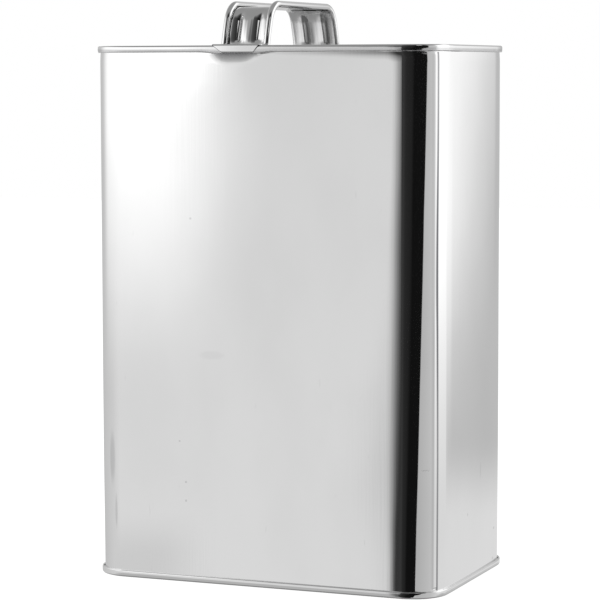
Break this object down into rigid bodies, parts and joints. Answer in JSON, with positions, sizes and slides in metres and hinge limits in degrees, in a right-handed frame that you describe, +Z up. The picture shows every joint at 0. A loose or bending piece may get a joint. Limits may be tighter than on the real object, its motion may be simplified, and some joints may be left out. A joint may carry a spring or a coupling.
{
  "type": "f-style can",
  "caption": "Rectangular seamed tinplate can with rounded corners, a ribbed strap handle over the top and a screw cap sunk below the rim.",
  "frame": {"origin": "centre of the base, on the plane that the bottom rim rests on", "axes": "+Z up, the wide front panel faces -Y, +X to the right of the front panel, where the cap is"},
  "size_m": [0.1684, 0.1066, 0.2612],
  "materials": {
    "bright_tinplate": "bright tinplate, mirror-like with faint waviness and light handling marks",
    "seaming_compound": "matt",
    "gasket_rubber": "matt",
    "liner_foam": "matt"
  },
  "bodies": {
    "can": {"body_shell": "bright_tinplate", "top_end": "bright_tinplate", "bottom_end": "bright_tinplate", "handle_strap": "bright_tinplate", "screw_neck": "bright_tinplate", "top_seam_compound": "seaming_compound", "bottom_seam_compound": "seaming_compound", "neck_gasket": "gasket_rubber"},
    "liner": {"cap_liner": "liner_foam"},
    "cap": {"screw_cap": "bright_tinplate"}
  },
  "joints": [
    {"name": "cap_lift", "type": "slide", "parent": "can", "child": "liner", "axis": [0, 0, 1], "range_m": [0, 0.0096]},
    {"name": "cap_turn", "type": "hinge", "parent": "liner", "child": "cap", "pos_m": [0.045, 0, 0.238], "axis": [0, 0, 1], "range_deg": [0, 1080]}
  ],
  "couplings": [
    {"joint": "cap_lift", "follows": "cap_turn", "m_per_rad": 0.0005093}
  ]
}
